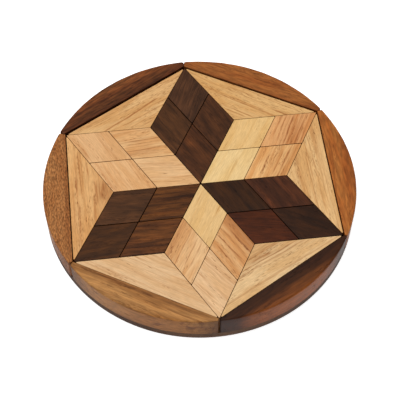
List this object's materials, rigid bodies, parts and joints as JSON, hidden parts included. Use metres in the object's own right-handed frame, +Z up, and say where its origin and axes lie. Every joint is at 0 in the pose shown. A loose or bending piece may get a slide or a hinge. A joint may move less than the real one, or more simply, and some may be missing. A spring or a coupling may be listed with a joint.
{
  "type": "star tray puzzle",
  "caption": "Round wooden tray with a hexagonal recess, packed with loose diamonds and flat triangles that lie flush and make a star; each piece lifts out.",
  "frame": {"origin": "centre of the round base's underside, which rests on the table", "axes": "+Z up out of the recess; +Y from the centre to a dark point of the star, +X to the middle of a rim segment's chord"},
  "size_m": [0.136, 0.136, 0.015],
  "materials": {
    "base_board": "sanded and oiled, satin, medium brown",
    "russet_rim": "oiled, satin, rust-orange with fine straight grain and reddish patches",
    "amber_rim": "oiled, satin, orange-brown with short dark pore streaks",
    "chocolate_rim": "oiled, satin, dark brown with reddish bands",
    "flecked_rim": "oiled, satin, mid brown with dense pale and dark flecks",
    "tan_rim": "oiled, satin, tan with long darker bands",
    "walnut_rim": "oiled, satin, near-black heart by the chord grading to brown",
    "dark_rosewood": "oiled, satin, dark brown with faint lighter lines",
    "brown_rosewood": "oiled, satin, dark brown with lighter bands",
    "tan_rubberwood": "sanded and oiled, satin, tan with orange growth lines and dark pore dashes",
    "peach_rubberwood": "sanded and oiled, satin, peach tan with fine lines",
    "pale_rubberwood": "sanded and oiled, satin, pale yellow, nearly plain",
    "orange_rubberwood": "sanded and oiled, satin, orange tan with strong darker lines"
  },
  "bodies": {
    "tray": {"base_disc": "base_board", "rim_segment_1": "russet_rim", "rim_segment_2": "amber_rim", "rim_segment_3": "chocolate_rim", "rim_segment_4": "flecked_rim", "rim_segment_5": "tan_rim", "rim_segment_6": "walnut_rim"},
    "bay_triangle_1": {"bay_triangle_1": "tan_rubberwood"},
    "bay_triangle_2": {"bay_triangle_2": "tan_rubberwood"},
    "bay_triangle_3": {"bay_triangle_3": "tan_rubberwood"},
    "bay_triangle_4": {"bay_triangle_4": "tan_rubberwood"},
    "bay_triangle_5": {"bay_triangle_5": "tan_rubberwood"},
    "bay_triangle_6": {"bay_triangle_6": "tan_rubberwood"},
    "dark_diamond_1_inner": {"dark_diamond_1_inner": "dark_rosewood"},
    "dark_diamond_1_left": {"dark_diamond_1_left": "dark_rosewood"},
    "dark_diamond_1_right": {"dark_diamond_1_right": "dark_rosewood"},
    "dark_diamond_1_tip": {"dark_diamond_1_tip": "dark_rosewood"},
    "dark_diamond_2_inner": {"dark_diamond_2_inner": "brown_rosewood"},
    "dark_diamond_2_left": {"dark_diamond_2_left": "brown_rosewood"},
    "dark_diamond_2_right": {"dark_diamond_2_right": "dark_rosewood"},
    "dark_diamond_2_tip": {"dark_diamond_2_tip": "dark_rosewood"},
    "dark_diamond_3_inner": {"dark_diamond_3_inner": "dark_rosewood"},
    "dark_diamond_3_left": {"dark_diamond_3_left": "dark_rosewood"},
    "dark_diamond_3_right": {"dark_diamond_3_right": "dark_rosewood"},
    "dark_diamond_3_tip": {"dark_diamond_3_tip": "dark_rosewood"},
    "light_diamond_1_inner": {"light_diamond_1_inner": "peach_rubberwood"},
    "light_diamond_1_left": {"light_diamond_1_left": "peach_rubberwood"},
    "light_diamond_1_right": {"light_diamond_1_right": "peach_rubberwood"},
    "light_diamond_1_tip": {"light_diamond_1_tip": "peach_rubberwood"},
    "light_diamond_2_inner": {"light_diamond_2_inner": "pale_rubberwood"},
    "light_diamond_2_left": {"light_diamond_2_left": "orange_rubberwood"},
    "light_diamond_2_right": {"light_diamond_2_right": "orange_rubberwood"},
    "light_diamond_2_tip": {"light_diamond_2_tip": "peach_rubberwood"},
    "light_diamond_3_inner": {"light_diamond_3_inner": "pale_rubberwood"},
    "light_diamond_3_left": {"light_diamond_3_left": "pale_rubberwood"},
    "light_diamond_3_right": {"light_diamond_3_right": "orange_rubberwood"},
    "light_diamond_3_tip": {"light_diamond_3_tip": "orange_rubberwood"}
  },
  "joints": [
    {"name": "bay_triangle_1_lift", "type": "slide", "parent": "tray", "child": "bay_triangle_1", "axis": [0, 0, 1], "range_m": [0, 0.03]},
    {"name": "bay_triangle_2_lift", "type": "slide", "parent": "tray", "child": "bay_triangle_2", "axis": [0, 0, 1], "range_m": [0, 0.03]},
    {"name": "bay_triangle_3_lift", "type": "slide", "parent": "tray", "child": "bay_triangle_3", "axis": [0, 0, 1], "range_m": [0, 0.03]},
    {"name": "bay_triangle_4_lift", "type": "slide", "parent": "tray", "child": "bay_triangle_4", "axis": [0, 0, 1], "range_m": [0, 0.03]},
    {"name": "bay_triangle_5_lift", "type": "slide", "parent": "tray", "child": "bay_triangle_5", "axis": [0, 0, 1], "range_m": [0, 0.03]},
    {"name": "bay_triangle_6_lift", "type": "slide", "parent": "tray", "child": "bay_triangle_6", "axis": [0, 0, 1], "range_m": [0, 0.03]},
    {"name": "dark_diamond_1_inner_lift", "type": "slide", "parent": "tray", "child": "dark_diamond_1_inner", "axis": [0, 0, 1], "range_m": [0, 0.03]},
    {"name": "dark_diamond_1_left_lift", "type": "slide", "parent": "tray", "child": "dark_diamond_1_left", "axis": [0, 0, 1], "range_m": [0, 0.03]},
    {"name": "dark_diamond_1_right_lift", "type": "slide", "parent": "tray", "child": "dark_diamond_1_right", "axis": [0, 0, 1], "range_m": [0, 0.03]},
    {"name": "dark_diamond_1_tip_lift", "type": "slide", "parent": "tray", "child": "dark_diamond_1_tip", "axis": [0, 0, 1], "range_m": [0, 0.03]},
    {"name": "dark_diamond_2_inner_lift", "type": "slide", "parent": "tray", "child": "dark_diamond_2_inner", "axis": [0, 0, 1], "range_m": [0, 0.03]},
    {"name": "dark_diamond_2_left_lift", "type": "slide", "parent": "tray", "child": "dark_diamond_2_left", "axis": [0, 0, 1], "range_m": [0, 0.03]},
    {"name": "dark_diamond_2_right_lift", "type": "slide", "parent": "tray", "child": "dark_diamond_2_right", "axis": [0, 0, 1], "range_m": [0, 0.03]},
    {"name": "dark_diamond_2_tip_lift", "type": "slide", "parent": "tray", "child": "dark_diamond_2_tip", "axis": [0, 0, 1], "range_m": [0, 0.03]},
    {"name": "dark_diamond_3_inner_lift", "type": "slide", "parent": "tray", "child": "dark_diamond_3_inner", "axis": [0, 0, 1], "range_m": [0, 0.03]},
    {"name": "dark_diamond_3_left_lift", "type": "slide", "parent": "tray", "child": "dark_diamond_3_left", "axis": [0, 0, 1], "range_m": [0, 0.03]},
    {"name": "dark_diamond_3_right_lift", "type": "slide", "parent": "tray", "child": "dark_diamond_3_right", "axis": [0, 0, 1], "range_m": [0, 0.03]},
    {"name": "dark_diamond_3_tip_lift", "type": "slide", "parent": "tray", "child": "dark_diamond_3_tip", "axis": [0, 0, 1], "range_m": [0, 0.03]},
    {"name": "light_diamond_1_inner_lift", "type": "slide", "parent": "tray", "child": "light_diamond_1_inner", "axis": [0, 0, 1], "range_m": [0, 0.03]},
    {"name": "light_diamond_1_left_lift", "type": "slide", "parent": "tray", "child": "light_diamond_1_left", "axis": [0, 0, 1], "range_m": [0, 0.03]},
    {"name": "light_diamond_1_right_lift", "type": "slide", "parent": "tray", "child": "light_diamond_1_right", "axis": [0, 0, 1], "range_m": [0, 0.03]},
    {"name": "light_diamond_1_tip_lift", "type": "slide", "parent": "tray", "child": "light_diamond_1_tip", "axis": [0, 0, 1], "range_m": [0, 0.03]},
    {"name": "light_diamond_2_inner_lift", "type": "slide", "parent": "tray", "child": "light_diamond_2_inner", "axis": [0, 0, 1], "range_m": [0, 0.03]},
    {"name": "light_diamond_2_left_lift", "type": "slide", "parent": "tray", "child": "light_diamond_2_left", "axis": [0, 0, 1], "range_m": [0, 0.03]},
    {"name": "light_diamond_2_right_lift", "type": "slide", "parent": "tray", "child": "light_diamond_2_right", "axis": [0, 0, 1], "range_m": [0, 0.03]},
    {"name": "light_diamond_2_tip_lift", "type": "slide", "parent": "tray", "child": "light_diamond_2_tip", "axis": [0, 0, 1], "range_m": [0, 0.03]},
    {"name": "light_diamond_3_inner_lift", "type": "slide", "parent": "tray", "child": "light_diamond_3_inner", "axis": [0, 0, 1], "range_m": [0, 0.03]},
    {"name": "light_diamond_3_left_lift", "type": "slide", "parent": "tray", "child": "light_diamond_3_left", "axis": [0, 0, 1], "range_m": [0, 0.03]},
    {"name": "light_diamond_3_right_lift", "type": "slide", "parent": "tray", "child": "light_diamond_3_right", "axis": [0, 0, 1], "range_m": [0, 0.03]},
    {"name": "light_diamond_3_tip_lift", "type": "slide", "parent": "tray", "child": "light_diamond_3_tip", "axis": [0, 0, 1], "range_m": [0, 0.03]}
  ]
}
